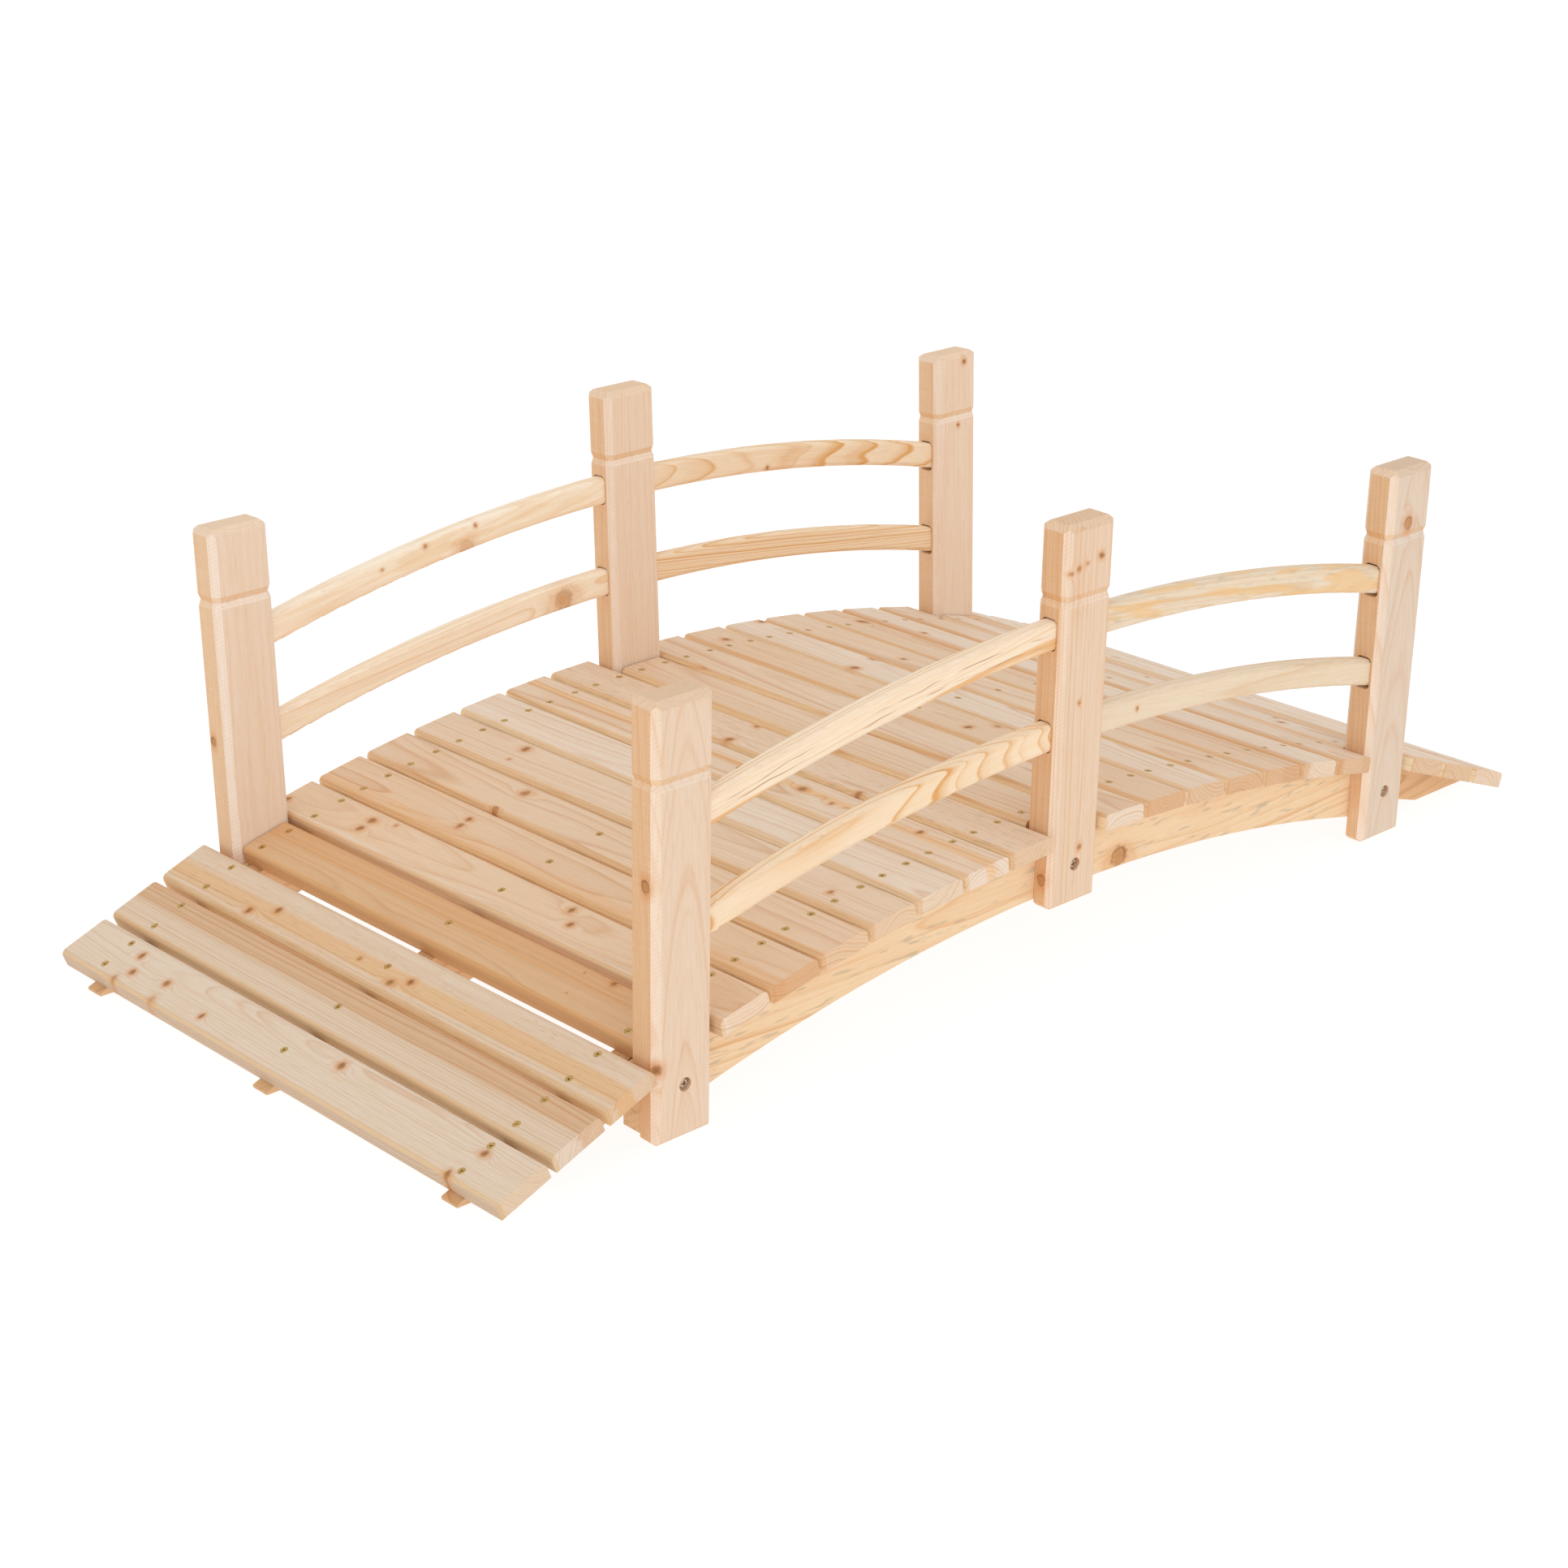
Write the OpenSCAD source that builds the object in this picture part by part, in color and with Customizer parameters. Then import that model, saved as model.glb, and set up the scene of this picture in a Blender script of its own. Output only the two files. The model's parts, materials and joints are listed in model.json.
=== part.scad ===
// Garden moon bridge of bare softwood: an arched plank deck with a short ramp at each
// end, carried by three stringers, between two railings of posts and curved rails.
// X runs along the bridge, Y across it and Z up, from the ground under its middle.

/* [Deck] */
// Height of the walking surface at the middle of the bridge
crown_h = 168; // [155:1:185]
// Radius of the arch that the walking surface follows
deck_r = 2150; // [1950:10:2500]
// Length of a plank, across the bridge
plank_l = 716; // [600:1:900]
// Width of a plank, along the bridge
plank_w = 60; // [54:0.5:66]
// Thickness of a plank
plank_t = 18; // [15:0.5:22]
// Radius of the two upper long edges of a plank
plank_edge = 6; // [1:0.5:8]
// Open joint between two planks on the arch
plank_gap = 5; // [3:0.5:8]
// Planks between two posts
bay_planks = 7; // [6:1:8]

/* [Ramps] */
// Planks on each ramp
ramp_planks = 3; // [2:1:4]
// Open joint between two planks on a ramp
ramp_gap = 6.4; // [3:0.2:9]
// Open joint between the arch and the first plank of a ramp
ramp_start = 15.8; // [12:0.2:20]
// Height of the lower front edge of the last plank above the ground
toe_h = 6.4; // [5:0.2:10]
// Length of the stringers beyond the last plank
toe_past = 2; // [1:0.5:5]

/* [Beams] */
// Thickness of a stringer
stringer_t = 23; // [18:0.5:28]
// Depth of a stringer under the planks
stringer_h = 46; // [38:0.5:54]
// Distance of the outer stringers from the ends of the planks
stringer_in = 64.5; // [56:0.5:72]
// Thickness of a side arch
arch_t = 23; // [18:0.5:28]
// Depth of a side arch under the planks
arch_h = 59; // [50:0.5:70]
// Room between a side arch and the stringer beside it
arch_gap = 1; // [0.5:0.1:3]

/* [Posts] */
// Width of a post, along the bridge
post_w = 71; // [62:0.5:80]
// Thickness of a post, across the bridge
post_t = 38.5; // [34:0.5:44]
// Thickness of the lower part of a post, which laps the side arch
post_lap = 22; // [17:0.5:26]
// Bevel on the long edges of a post
post_bevel = 7; // [3:0.5:9]
// Bevel round the top of a post
post_top_bevel = 7; // [2:0.5:9]
// Bevel round the foot of a post
post_foot_bevel = 4; // [2:0.5:8]
// Height of the middle posts above the deck
mid_post_up = 319; // [290:1:350]
// Height of the end posts above the deck beside them
end_post_up = 335; // [300:1:370]
// Depth of the middle posts below the side arch
mid_post_drop = 7.5; // [3:0.5:12]
// Height of the end posts above the ground
end_post_clear = 7; // [4:0.5:14]
// Room between a post and the planks beside it
post_gap = 3.2; // [2:0.1:6]
// Room between a short plank and the posts at its ends
short_gap = 0.6; // [0.4:0.1:2]
// Distance of the groove below the top of a post
groove_down = 77; // [60:1:90]
// Width of the groove
groove_w = 13; // [8:0.5:16]
// Depth of the groove
groove_d = 2.25; // [1:0.25:5]
// Lean of the railings away from the deck, in degrees
lean = 1.3; // [0:0.1:2]

/* [Rails] */
// Thickness of a rail
rail_t = 19; // [15:0.5:22]
// Depth of a rail
rail_h = 30; // [24:0.5:42]
// Radius of the upper edge of a rail
rail_r = 2030; // [1850:10:2400]
// Radius of the four long edges of a rail
rail_edge = 5; // [2:0.5:7]
// Height of the top rails above the deck, at the middle of the bridge
top_rail_up = 222; // [200:1:230]
// Height of the low rails above the deck, at the middle of the bridge
low_rail_up = 115; // [100:1:140]
// Depth of a mortise in a post
mortise_d = 12; // [8:0.5:15]
// Room above and below a rail in its mortise
mortise_room = 1.5; // [0.5:0.1:3]

/* [Bolts] */
// Diameter of the counterbore for a bolt head
bolt_bore = 14; // [10:0.5:18]
// Depth of the counterbore
bolt_sink = 5; // [3:0.5:8]
// Distance of a bolt below the top of the side arch
bolt_down = 24; // [18:1:32]

/* [Hidden] */
// Clearance at each seat
fit = 0.3;
// Facets of the large arcs and of the small rounds
arc_fn = 1440;
edge_fn = 48;
// Larger than any piece
far = 4000;

// The planks lie on a circle of this radius, around this point under the bridge
seat_r = deck_r - plank_t;
seat_z = crown_h - plank_t;
centre_z = crown_h - deck_r;

function arc_angle(along) = along / deck_r * 180 / PI;
function drop_at(x, r) = r - sqrt(r * r - x * x);

// Places along the arch, measured on the walking surface
first_along = post_w / 2 + post_gap + plank_w / 2;
post_along = post_w + 2 * post_gap + bay_planks * plank_w + (bay_planks - 1) * plank_gap;
ramp_along = post_along + plank_w / 2 + ramp_start;
post_x = deck_r * sin(arc_angle(post_along));
post_drop = drop_at(post_x, deck_r);

// A ramp starts on the arch and falls until its last plank is near the ground
ramp_x = deck_r * sin(arc_angle(ramp_along));
ramp_z = centre_z + deck_r * cos(arc_angle(ramp_along));
ramp_run = ramp_planks * plank_w + (ramp_planks - 1) * ramp_gap;
ramp_tilt = asin((ramp_z - toe_h) / norm([ramp_run, plank_t])) - atan2(plank_t, ramp_run);
toe_x = ramp_x + ramp_run * cos(ramp_tilt) + toe_past;

// The width of the deck sets where the stringers and the railings stand
stringer_y = plank_l / 2 - stringer_in;

// A railing leans about the upper inner edge of its side arch
arch_x = post_x + post_w / 2;
arch_low = drop_at(arch_x, seat_r - arch_h) + arch_h;
arch_y = stringer_y + stringer_t / 2 + arch_gap + arch_low * sin(lean);
post_y1 = arch_t + post_lap;
post_y0 = post_y1 - post_t;
post_mid_y = (post_y0 + post_y1) / 2;
short_l = 2 * (arch_y + post_y0 * cos(lean) - (post_drop + 2 * plank_t) * sin(lean) - short_gap);

// Ends of the posts, measured from the underside of the planks at the middle
mid_post_z = [-arch_h - mid_post_drop, plank_t + mid_post_up];
end_post_z = [end_post_clear - seat_z, plank_t + end_post_up - post_drop];

// Upper edges of the rails at the middle, measured the same way
rail_tops = [plank_t + top_rail_up, plank_t + low_rail_up];
rail_x0 = post_w / 2 - mortise_d;
rail_x1 = post_x - post_w / 2 + mortise_d;

side_names = ["near", "far"];
beam_names = ["near", "mid", "far"];
place_names = ["left", "mid", "right"];
bay_names = ["left", "right"];
rail_names = ["top", "low"];
half_planks = bay_planks + 1 + ramp_planks;
plank_count = 2 * half_planks + 1;

function plank_name(i) = str("plank_", i < 10 ? "0" : "", i);
function stringer_name(i) = str("stringer_", beam_names[i]);
function arch_name(s) = str("arch_", side_names[s]);
function post_name(s, p) = str("post_", side_names[s], "_", place_names[p]);
function rail_name(s, b, r) = str("rail_", side_names[s], "_", bay_names[b], "_", rail_names[r]);

// Turns an outline drawn in X and Z into a slab between two places across the bridge
module slab(y0, y1) {
    translate([0, y1, 0])
        rotate([90, 0, 0])
            linear_extrude(y1 - y0)
                children();
}

// Mirrors what is drawn for the right or far half
module flip(axis, turned) {
    if (turned)
        mirror(axis) children();
    else
        children();
}

// Puts a piece of the far railing, drawn upright from the edge it leans about, in its place
module railing(side) {
    flip([0, 1, 0], side == 0)
        translate([0, arch_y, seat_z])
            rotate([-lean, 0, 0])
                children();
}

// Everything under the underside of one ramp
module under_ramp() {
    translate([ramp_x, ramp_z])
        rotate(-ramp_tilt)
            translate([-far, -far - plank_t - fit])
                square([2 * far, far]);
}

// Everything under the planks, which follow the arch between the ramps
module under_deck() {
    intersection() {
        union() {
            translate([0, centre_z]) circle(seat_r - fit, $fn = arc_fn);
            translate([ramp_x, -far]) square(2 * far);
            translate([-ramp_x - 2 * far, -far]) square(2 * far);
        }
        under_ramp();
        mirror([1, 0]) under_ramp();
    }
}

module stringer_outline() {
    difference() {
        intersection() {
            under_deck();
            translate([-toe_x, 0]) square([2 * toe_x, crown_h]);
        }
        translate([0, centre_z]) circle(seat_r - stringer_h, $fn = arc_fn);
    }
}

// Arched beam that carries the planks, with a flat foot at each end
module stringer(i) {
    y = (i - 1) * stringer_y;
    color("tan")
        slab(y - stringer_t / 2, y + stringer_t / 2)
            stringer_outline();
}

module arch_outline() {
    intersection() {
        difference() {
            translate([0, -seat_r]) circle(seat_r - fit, $fn = arc_fn);
            translate([0, -seat_r]) circle(seat_r - arch_h, $fn = arc_fn);
        }
        translate([-arch_x, -far]) square([2 * arch_x, far + plank_t]);
    }
}

// Arched board that joins the posts of one railing under the deck
module arch(side) {
    color("wheat")
        railing(side)
            slab(0, arch_t)
                arch_outline();
}

module plank_outline() {
    translate([-plank_w / 2, 0]) square([plank_w, plank_t - plank_edge]);
    translate([plank_edge - plank_w / 2, 0]) square([plank_w - 2 * plank_edge, plank_t]);
    for (end = [-1, 1])
        translate([end * (plank_w / 2 - plank_edge), plank_t - plank_edge])
            circle(plank_edge, $fn = edge_fn);
}

// Puts a plank on the right half of the arch, or on the right ramp
module plank_place(k) {
    on_ramp = k - bay_planks - 2;
    along = k == 0 ? 0
        : k > bay_planks ? post_along
        : first_along + (k - 1) * (plank_w + plank_gap);
    angle = arc_angle(along);
    if (on_ramp < 0)
        translate([seat_r * sin(angle), 0, centre_z + seat_r * cos(angle)])
            rotate([0, angle, 0])
                children();
    else
        translate([ramp_x, 0, ramp_z])
            rotate([0, ramp_tilt, 0])
                translate([plank_w / 2 + on_ramp * (plank_w + ramp_gap), 0, -plank_t])
                    children();
}

// Deck plank, counted from the left end; those between posts are shorter
module plank(i) {
    place = i - half_planks - 1;
    k = abs(place);
    between_posts = k == 0 || k == bay_planks + 1;
    half_l = (between_posts ? short_l : plank_l) / 2;
    color("burlywood")
        flip([1, 0, 0], place < 0)
            plank_place(k)
                slab(-half_l, half_l)
                    plank_outline();
}

// Upright outline of a post, half as wide as given, bevelled at its foot and top and
// notched on both sides where the groove runs round it
module post_outline(half, z, foot, top) {
    groove = z[1] - groove_down;
    right = [
        [half - foot, z[0]],
        [half, z[0] + foot],
        [half, groove - groove_w / 2],
        [half - groove_d, groove],
        [half, groove + groove_w / 2],
        [half, z[1] - top],
        [half - top, z[1]]
    ];
    left = [for (i = [len(right) - 1 : -1 : 0]) [-right[i][0], right[i][1]]];
    polygon(concat(right, left));
}

// Post with bevelled edges and a groove round it, before it is cut for its neighbours
module post_block(z) {
    half_w = post_w / 2;
    half_t = post_t / 2;
    corner = (half_w + half_t - post_bevel) / sqrt(2);
    intersection() {
        slab(-half_t, half_t)
            post_outline(half_w, z, post_foot_bevel, post_top_bevel);
        rotate(90)
            slab(-half_w, half_w)
                post_outline(half_t, z, post_foot_bevel, post_top_bevel);
        intersection_for (turn = [-45, 45])
            rotate(turn)
                slab(-post_w, post_w)
                    post_outline(corner, z, 0, 0);
    }
}

// Upright rectangle with rounded corners, centred on its lower edge
module rounded(w, h, r) {
    translate([-w / 2, r]) square([w, h - 2 * r]);
    translate([r - w / 2, 0]) square([w - 2 * r, h]);
    for (x = [r - w / 2, w / 2 - r], z = [r, h - r])
        translate([x, z]) circle(r, $fn = edge_fn);
}

// Slot for a rail's end, from its bottom at x_end out through the post's face at x_face
module mortise(x_end, x_face, top_z) {
    x_low = min(x_end, x_face) - (x_face < x_end ? post_bevel : 0);
    z_high = top_z - drop_at(min(x_end, x_face), rail_r) + mortise_room;
    z_low = top_z - rail_h - drop_at(max(x_end, x_face), rail_r - rail_h) - mortise_room;
    translate([x_low, post_mid_y, z_low])
        rotate([90, 0, 90])
            linear_extrude(abs(x_face - x_end) + post_bevel)
                rounded(rail_t + 2 * fit, z_high - z_low, rail_edge + fit);
}

// Post whose lower part laps the outer face of the side arch
module post(side, p) {
    place = p - 1;
    z = place == 0 ? mid_post_z : end_post_z;
    bolt_z = -bolt_down - drop_at(abs(place) * post_x, seat_r);
    color("bisque")
        railing(side)
            flip([1, 0, 0], place < 0)
                difference() {
                    translate([abs(place) * post_x, post_mid_y, 0])
                        post_block(z);
                    slab(-far, arch_t + fit)
                        translate([0, -seat_r])
                            circle(seat_r, $fn = arc_fn);
                    translate([abs(place) * post_x, post_y1 - bolt_sink, bolt_z])
                        rotate([-90, 0, 0])
                            cylinder(h = bolt_sink + 1, d = bolt_bore, $fn = edge_fn);
                    for (top_z = rail_tops)
                        if (place == 0)
                            for (turned = [false, true])
                                flip([1, 0, 0], turned)
                                    mortise(rail_x0 - fit, post_w / 2, top_z);
                        else
                            mortise(rail_x1 + fit, post_x - post_w / 2, top_z);
                }
}

// Curved rail between two posts, with its ends let into their mortises
module rail(side, bay, r) {
    sweep = asin(rail_x1 / rail_r) + 1;
    color("navajowhite")
        railing(side)
            flip([1, 0, 0], bay == 0)
                intersection() {
                    translate([0, post_mid_y, rail_tops[r] - rail_r])
                        rotate([90, 0, 0])
                            rotate([0, 0, 90 - sweep])
                                rotate_extrude(angle = sweep, $fn = arc_fn)
                                    translate([rail_r - rail_h, 0])
                                        rotate(-90)
                                            rounded(rail_t, rail_h, rail_edge);
                    translate([rail_x0, 0, -far / 2])
                        cube([rail_x1 - rail_x0, far, far]);
                }
}

for (i = [0 : 2])
    stringer(i);

for (s = [0 : 1])
    arch(s);

for (i = [1 : plank_count])
    plank(i);

for (s = [0 : 1])
    for (p = [0 : 2])
        post(s, p);

for (s = [0 : 1])
    for (b = [0 : 1])
        for (r = [0 : 1])
            rail(s, b, r);
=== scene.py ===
"""Looks of a garden moon bridge: bare softwood boards, yellow screws and bright bolts.

Each board keeps its CAD solid. Its softwood is a solid texture in the board's own axes, in
millimetres: growth rings round a pith, fibres, heartwood, knots and end grain.
"""

import json
import math
import random

import bmesh
import bpy
from mathutils import Matrix, Vector

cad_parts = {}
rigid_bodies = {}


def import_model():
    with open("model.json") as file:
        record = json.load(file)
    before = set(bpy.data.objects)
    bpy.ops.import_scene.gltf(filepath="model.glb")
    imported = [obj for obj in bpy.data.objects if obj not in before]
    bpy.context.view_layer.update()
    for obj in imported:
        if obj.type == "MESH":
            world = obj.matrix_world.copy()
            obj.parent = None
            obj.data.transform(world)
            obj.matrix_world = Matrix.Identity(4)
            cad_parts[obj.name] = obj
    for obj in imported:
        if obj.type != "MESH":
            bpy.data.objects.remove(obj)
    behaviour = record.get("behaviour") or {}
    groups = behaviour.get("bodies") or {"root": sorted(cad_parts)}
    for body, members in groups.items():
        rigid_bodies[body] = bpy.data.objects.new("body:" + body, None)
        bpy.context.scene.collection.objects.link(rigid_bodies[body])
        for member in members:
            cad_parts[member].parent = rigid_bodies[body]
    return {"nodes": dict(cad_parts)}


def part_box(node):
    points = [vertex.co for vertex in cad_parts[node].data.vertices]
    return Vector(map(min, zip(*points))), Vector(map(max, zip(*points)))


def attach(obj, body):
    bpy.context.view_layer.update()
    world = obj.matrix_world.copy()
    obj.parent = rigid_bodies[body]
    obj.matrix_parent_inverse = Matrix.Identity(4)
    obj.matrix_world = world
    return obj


MM = 0.001

for made in list(bpy.data.objects):
    bpy.data.objects.remove(made)

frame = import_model()
nodes = frame["nodes"]
bpy.context.view_layer.update()


# Colours

def linear(red, green, blue):
    """A colour given as it looks on screen, 0 to 255, as the linear colour of a shader."""
    parts = [c / 255 for c in (red, green, blue)]
    parts = [c / 12.92 if c <= 0.04045 else ((c + 0.055) / 1.055) ** 2.4 for c in parts]
    return (*parts, 1.0)


def between(a, b, share):
    return tuple(x + (y - x) * share for x, y in zip(a, b))


# Each kind of board: its earlywood and latewood in the palest and in the warmest boards, the
# tint of its narrow faces, how far a face has turned aside where that tint begins and where it
# is whole, and the tint of its ends. Tints multiply the colour under them. The narrow faces'
# tint is partly their own grain and partly painted shade; on the rails it is painted light on
# their tops and bottoms.
WOODS = {
    "plank": {
        "early": ((240, 224, 206), (232, 188, 142)),
        "late": ((218, 172, 130), (204, 142, 90)),
        "edge": (0.97, 0.85, 0.67), "edge_from": (0.3, 0.75), "end": (0.93, 0.87, 0.8),
    },
    "post": {
        "early": ((240, 219, 198), (232, 192, 154)),
        "late": ((232, 186, 146), (212, 150, 100)),
        "edge": (0.95, 0.83, 0.68), "edge_from": (0.8, 0.97), "end": (1.0, 0.95, 0.86),
    },
    "rail": {
        "early": ((248, 230, 206), (240, 204, 156)),
        "late": ((232, 178, 112), (214, 148, 80)),
        "edge": (1.05, 1.08, 1.12), "edge_from": (0.45, 0.95), "end": (0.95, 0.9, 0.84),
    },
    "arch": {
        "early": ((242, 216, 182), (236, 198, 152)),
        "late": ((228, 178, 124), (208, 152, 94)),
        "edge": (0.94, 0.88, 0.78), "edge_from": (0.45, 0.95), "end": (0.9, 0.84, 0.76),
    },
    # The stringers' colours are partly painted light, lighter than their wood to lift the shade under
    # the planks
    "stringer": {
        "early": ((232, 196, 156), (220, 176, 130)),
        "late": ((206, 156, 108), (188, 134, 88)),
        "edge": (0.94, 0.88, 0.78), "edge_from": (0.45, 0.95), "end": (0.9, 0.84, 0.76),
    },
}
# Heartwood and resin
HEART = (0.92, 0.77, 0.64)
AMBER = (1.0, 0.84, 0.64)
# Painted shade and painted light over whole boards: shade on the near posts, the near right
# rails and a plank, grey shade on the ramp planks, and light on the far left rails
SHADE_DULL = (0.87, 0.91, 0.96)
SHADE_GREY = (0.87, 0.88, 0.86)
LIGHT_PALE = (1.045, 1.08, 1.1)
# Fronts of planks, the narrow faces towards the left end, from painted shade to painted light;
# the light lifts the shade in the gaps between the planks
FRONT_SHADE_DEEP = (0.81, 0.84, 0.97)
FRONT_SHADE_SOFT = (0.93, 0.97, 1.01)
FRONT_LIGHT_SOFT = (1.17, 1.27, 1.28)
FRONT_LIGHT_STRONG = (1.14, 1.32, 1.48)
# Ends of planks that are paler or deeper than most; the deeper ends are partly end grain and
# partly painted shade
END_PALE = (0.98, 1.02, 1.1)
END_DEEP_AND_SHADED = (0.86, 0.71, 0.57)
# Slow and fine changes of tone, from the deepest to the palest
TONE_DEEP = (0.955, 0.86, 0.72)
TONE_PALE = (1.045, 1.1, 1.2)
# A paler tint, partly the fresh wood of planed bevels and partly painted light on the far bevels
# of planks and on the lower slope of a groove, which faces up; and painted shade on the upper
# slope, which faces down
FRESH_AND_LIT = (1.06, 1.13, 1.22)
SHADED = (0.97, 0.87, 0.74)
# Marks in the wood, and the parts of a knot, as they look on screen
STAIN = (226, 170, 114)
BLOTCH = (238, 192, 130)
DASH = (168, 112, 66)
BLUE = (168, 160, 138)
CRACK = (182, 143, 106)
KNOT = (208, 150, 92)
KNOT_RIM = (104, 60, 28)
KNOT_HALO = (220, 148, 84)


# Short ways to write shader nodes

class Graph:
    """Adds and joins the nodes of one tree."""

    def __init__(self, tree):
        self.tree = tree

    def join(self, value, socket):
        if isinstance(value, bpy.types.NodeSocket):
            self.tree.links.new(value, socket)
        else:
            socket.default_value = value

    def node(self, kind, sockets=None, **settings):
        made = self.tree.nodes.new(kind)
        for name, value in settings.items():
            setattr(made, name, value)
        for name, value in (sockets or {}).items():
            self.join(value, made.inputs[name])
        return made

    def math(self, operation, *values):
        made = self.node("ShaderNodeMath", operation=operation)
        for socket, value in zip(made.inputs, values):
            self.join(value, socket)
        return made.outputs[0]

    def vector(self, operation, *values, out="Vector"):
        made = self.node("ShaderNodeVectorMath", operation=operation)
        sockets = [s for s in made.inputs if s.enabled]
        for socket, value in zip(sockets, values):
            self.join(value, socket)
        return made.outputs[out]

    def scaled(self, vector, factor):
        made = self.node("ShaderNodeVectorMath", operation="SCALE")
        self.join(vector, made.inputs["Vector"])
        self.join(factor, made.inputs["Scale"])
        return made.outputs["Vector"]

    def span(self, value, low, high, to_low=0.0, to_high=1.0, smooth=False):
        """value from low to high becomes to_low to to_high, and stays there beyond."""
        made = self.node("ShaderNodeMapRange", clamp=True)
        made.interpolation_type = "SMOOTHSTEP" if smooth else "LINEAR"
        for name, given in zip(
            ("Value", "From Min", "From Max", "To Min", "To Max"),
            (value, low, high, to_low, to_high),
        ):
            self.join(given, made.inputs[name])
        return made.outputs["Result"]

    def noise(self, vector, detail, roughness=0.5, out="Fac"):
        made = self.node(
            "ShaderNodeTexNoise",
            {"Vector": vector, "Scale": 1.0, "Detail": detail, "Roughness": roughness},
        )
        return made.outputs[out]

    def pattern(self, place, reach, detail, roughness=0.5, out="Fac"):
        """Noise that runs as far as reach says along the grain, across and through a board."""
        scale = tuple(1 / length for length in reach)
        return self.noise(self.vector("MULTIPLY", place, scale), detail, roughness, out)

    def noise_along(self, value):
        made = self.node("ShaderNodeTexNoise", noise_dimensions="1D")
        self.join(value, made.inputs["W"])
        self.join(1.0, made.inputs["Scale"])
        return made.outputs["Fac"]

    def mix(self, share, a, b, blend="MIX"):
        made = self.node("ShaderNodeMix", data_type="RGBA", blend_type=blend)
        for index, value in ((0, share), (6, a), (7, b)):
            self.join(value, made.inputs[index])
        return made.outputs[2]

    def paint(self, share, colour, tone):
        """Covers share of the colour with a tone given as it looks on screen."""
        return self.mix(share, colour, linear(*tone))

    def tint(self, share, colour, tint):
        """Multiplies share of the colour by a tint."""
        return self.mix(share, colour, (*tint, 1.0), "MULTIPLY")

    def ramp(self, value, stops):
        made = self.node("ShaderNodeValToRGB", {"Fac": value})
        points = made.color_ramp.elements
        while len(points) < len(stops):
            points.new(1.0)
        for point, (place, level) in zip(points, stops):
            point.position = place
            point.color = (level, level, level, 1.0)
        return made.outputs["Color"]

    def split(self, vector):
        return self.node("ShaderNodeSeparateXYZ", {"Vector": vector}).outputs


def new_group(name, inputs, outputs):
    tree = bpy.data.node_groups.new(name, "ShaderNodeTree")
    for io, sockets in (("INPUT", inputs), ("OUTPUT", outputs)):
        for socket, kind in sockets:
            tree.interface.new_socket(socket, in_out=io, socket_type="NodeSocket" + kind)
    graph = Graph(tree)
    return graph, graph.node("NodeGroupInput").outputs, graph.node("NodeGroupOutput").inputs


# Softwood

# How far a pattern runs along the grain, across and through a board, in mm
WARP_REACH = (300.0, 46.0, 46.0)
STREAK_REACH = (420.0, 6.0, 6.0)
FIBRE_REACH = (26.0, 0.7, 0.7)
DASH_REACH = (16.0, 0.8, 0.8)
BLOTCH_REACH = (75.0, 9.0, 9.0)
BLUE_REACH = (28.0, 5.0, 9.0)
SAW_REACH = (1.3, 40.0, 40.0)
# Light earlywood that darkens slowly into latewood and ends at the next year
RING_STOPS = ((0.0, 0.4), (0.08, 0.0), (0.55, 0.08), (0.8, 0.45), (0.93, 1.0), (1.0, 0.4))
# How far rings wander from even widths and how fast, in rings, and the strength of the faintest
RING_UNEVEN = 1.6
RING_DRIFT = 0.6
FAINTEST_RING = 0.25


def make_softwood_group():
    """Growth rings and fibres at a place in a board, which is in mm from the board's middle."""
    g, at, out = new_group(
        "softwood",
        [("Place", "Vector"), ("Push", "Float"), ("Seed", "Vector"), ("Pith", "Vector"),
         ("Lean", "Vector"), ("Curve", "Vector"), ("Ring", "Float"), ("Warp", "Float")],
        [("Late", "Float"), ("Streak", "Float"), ("Fibre", "Float"), ("Dash", "Float")],
    )
    seeded = g.vector("ADD", at["Place"], at["Seed"])
    wave = g.pattern(seeded, WARP_REACH, 1.5, 0.45, "Color")
    bend = g.scaled(g.vector("SUBTRACT", wave, (0.5, 0.5, 0.5)), at["Warp"])
    along = g.split(at["Place"])["X"]
    core = g.vector("ADD", at["Pith"], g.scaled(at["Lean"], along))
    core = g.vector("ADD", core, g.scaled(at["Curve"], g.math("MULTIPLY", along, along)))
    off = g.vector("ADD", g.vector("SUBTRACT", at["Place"], core), bend)
    radius = g.vector("LENGTH", g.vector("MULTIPLY", off, (0.0, 1.0, 1.0)), out="Value")
    radius = g.math("ADD", radius, at["Push"])
    rings = g.math("DIVIDE", radius, at["Ring"])
    start = g.split(at["Seed"])["X"]
    uneven = g.noise_along(g.math("MULTIPLY_ADD", rings, RING_DRIFT, start))
    rings = g.math("MULTIPLY_ADD", g.math("SUBTRACT", uneven, 0.5), RING_UNEVEN, rings)
    year = g.math("ADD", g.math("FLOOR", rings), start)
    strength = g.node("ShaderNodeTexWhiteNoise", {"W": year}, noise_dimensions="1D")
    strength = g.span(strength.outputs["Value"], 0.0, 1.0, FAINTEST_RING, 1.0)
    late = g.ramp(g.math("FRACT", rings), RING_STOPS)
    g.join(g.math("MULTIPLY", late, strength), out["Late"])
    g.join(g.pattern(seeded, STREAK_REACH, 3.0, 0.6), out["Streak"])
    g.join(g.pattern(seeded, FIBRE_REACH, 1.5, 0.6), out["Fibre"])
    g.join(g.pattern(seeded, DASH_REACH, 0.0), out["Dash"])
    return g.tree


# How much longer than a knot its halo and the bend of the rings round it are, along the grain
HALO_STRETCH = 1.35
PUSH_STRETCH = 2.6
# How far rings bend round a knot, in knot sizes, and how quickly they straighten again
KNOT_PUSH = 1.3
PUSH_FADE = 0.8
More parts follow.
